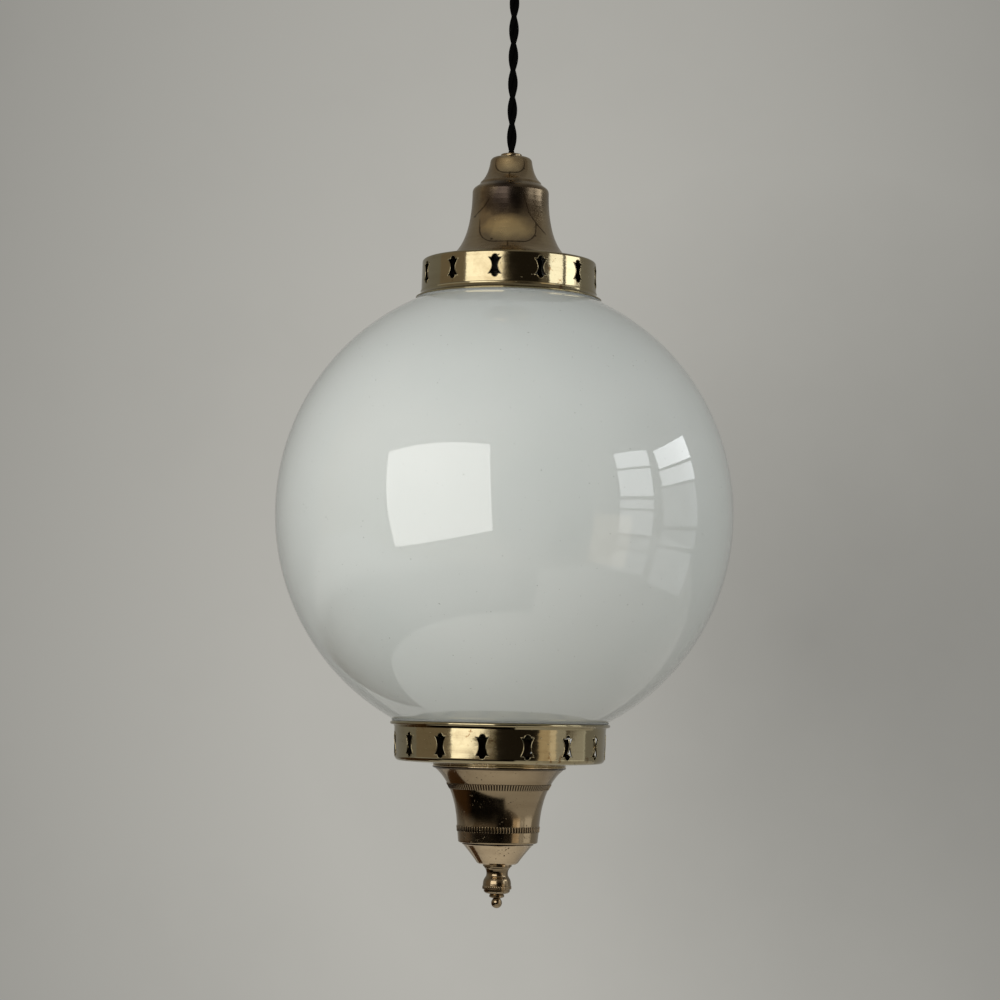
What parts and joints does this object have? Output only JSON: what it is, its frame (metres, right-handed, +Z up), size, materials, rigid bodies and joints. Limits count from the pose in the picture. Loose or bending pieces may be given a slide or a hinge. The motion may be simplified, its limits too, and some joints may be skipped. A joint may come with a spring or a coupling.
{
  "type": "pendant light",
  "caption": "Opal glass globe pendant light held between two pierced brass galleries, with a bell cover above, a bell and turned finial below, a twisted flex and a ceiling canopy.",
  "frame": {"origin": "middle of the ceiling plate's upper face, which lies against the ceiling", "axes": "+Z up into the ceiling, -Y towards the viewer in the picture, +X to the viewer's right"},
  "size_m": [0.3, 0.3, 0.6763],
  "materials": {
    "bright_brass": "polished sheet brass, lightly tarnished",
    "lower_brass": "polished, pitted, paler and pinkish",
    "aged_brass": "dull brown tarnish",
    "opal_glass": "cased opal glass, glossy",
    "clear_glass": "clear",
    "steel": "zinc plated",
    "porcelain": "glazed",
    "black_phenolic": "moulded",
    "braided_flex": "braided cotton",
    "core_insulation": "matt",
    "felt": "felt",
    "cap_metal": "satin"
  },
  "bodies": {
    "ceiling": {"ceiling_plate": "steel", "canopy": "aged_brass", "canopy_screws": "bright_brass", "weld_nut": "steel", "ceiling_hook": "steel", "terminal_block": "porcelain", "terminal_screws": "bright_brass", "block_screw": "steel", "ceiling_cores": "core_insulation"},
    "ring": {"suspension_ring": "steel"},
    "drop": {"clamp_bail": "steel", "clamp_front": "black_phenolic", "clamp_back": "black_phenolic", "clamp_screws": "steel", "flex": "braided_flex"},
    "lamp": {"nipple_collar": "aged_brass", "flex_bush": "black_phenolic", "nipple": "steel", "top_bell": "aged_brass", "bell_nut": "steel", "strap_nut": "steel", "top_gallery": "bright_brass", "upper_gasket": "felt", "hoop": "steel", "holder_cap": "black_phenolic", "holder_insert": "porcelain", "holder_terminals": "bright_brass", "holder_contact": "bright_brass", "holder_sleeve": "bright_brass", "holder_skirt": "black_phenolic", "lamp_cores": "core_insulation", "bulb_cap": "cap_metal", "bulb_contact": "black_phenolic", "bulb_glass": "clear_glass", "bulb_stem": "clear_glass", "bulb_filament": "cap_metal", "globe": "opal_glass", "lower_gasket": "felt", "bottom_gallery": "bright_brass", "lower_bell": "lower_brass", "tie_rod": "steel", "rod_nuts": "steel"},
    "finial_slide": {"finial_washer": "lower_brass"},
    "finial": {"finial": "lower_brass"}
  },
  "joints": [
    {"name": "ring_swing", "type": "hinge", "parent": "ceiling", "child": "ring", "pos_m": [0, 0, -0.022], "axis": [1, 0, 0], "range_deg": [-8, 8]},
    {"name": "lamp_swing", "type": "hinge", "parent": "ring", "child": "drop", "pos_m": [0, 0, -0.0312], "axis": [0, 1, 0], "range_deg": [-8, 8]},
    {"name": "flex_twist", "type": "hinge", "parent": "drop", "child": "lamp", "pos_m": [0, 0, -0.182], "axis": [0, 0, 1], "range_deg": [-180, 180]},
    {"name": "finial_travel", "type": "slide", "parent": "lamp", "child": "finial_slide", "axis": [0, 0, -1], "range_m": [0, 0.008]},
    {"name": "finial_turn", "type": "hinge", "parent": "finial_slide", "child": "finial", "pos_m": [0, 0, -0.65], "axis": [0, 0, -1], "range_deg": [-90, 3060]}
  ],
  "couplings": [
    {"joint": "finial_turn", "follows": "finial_travel", "rad_per_m": 6283.2}
  ]
}
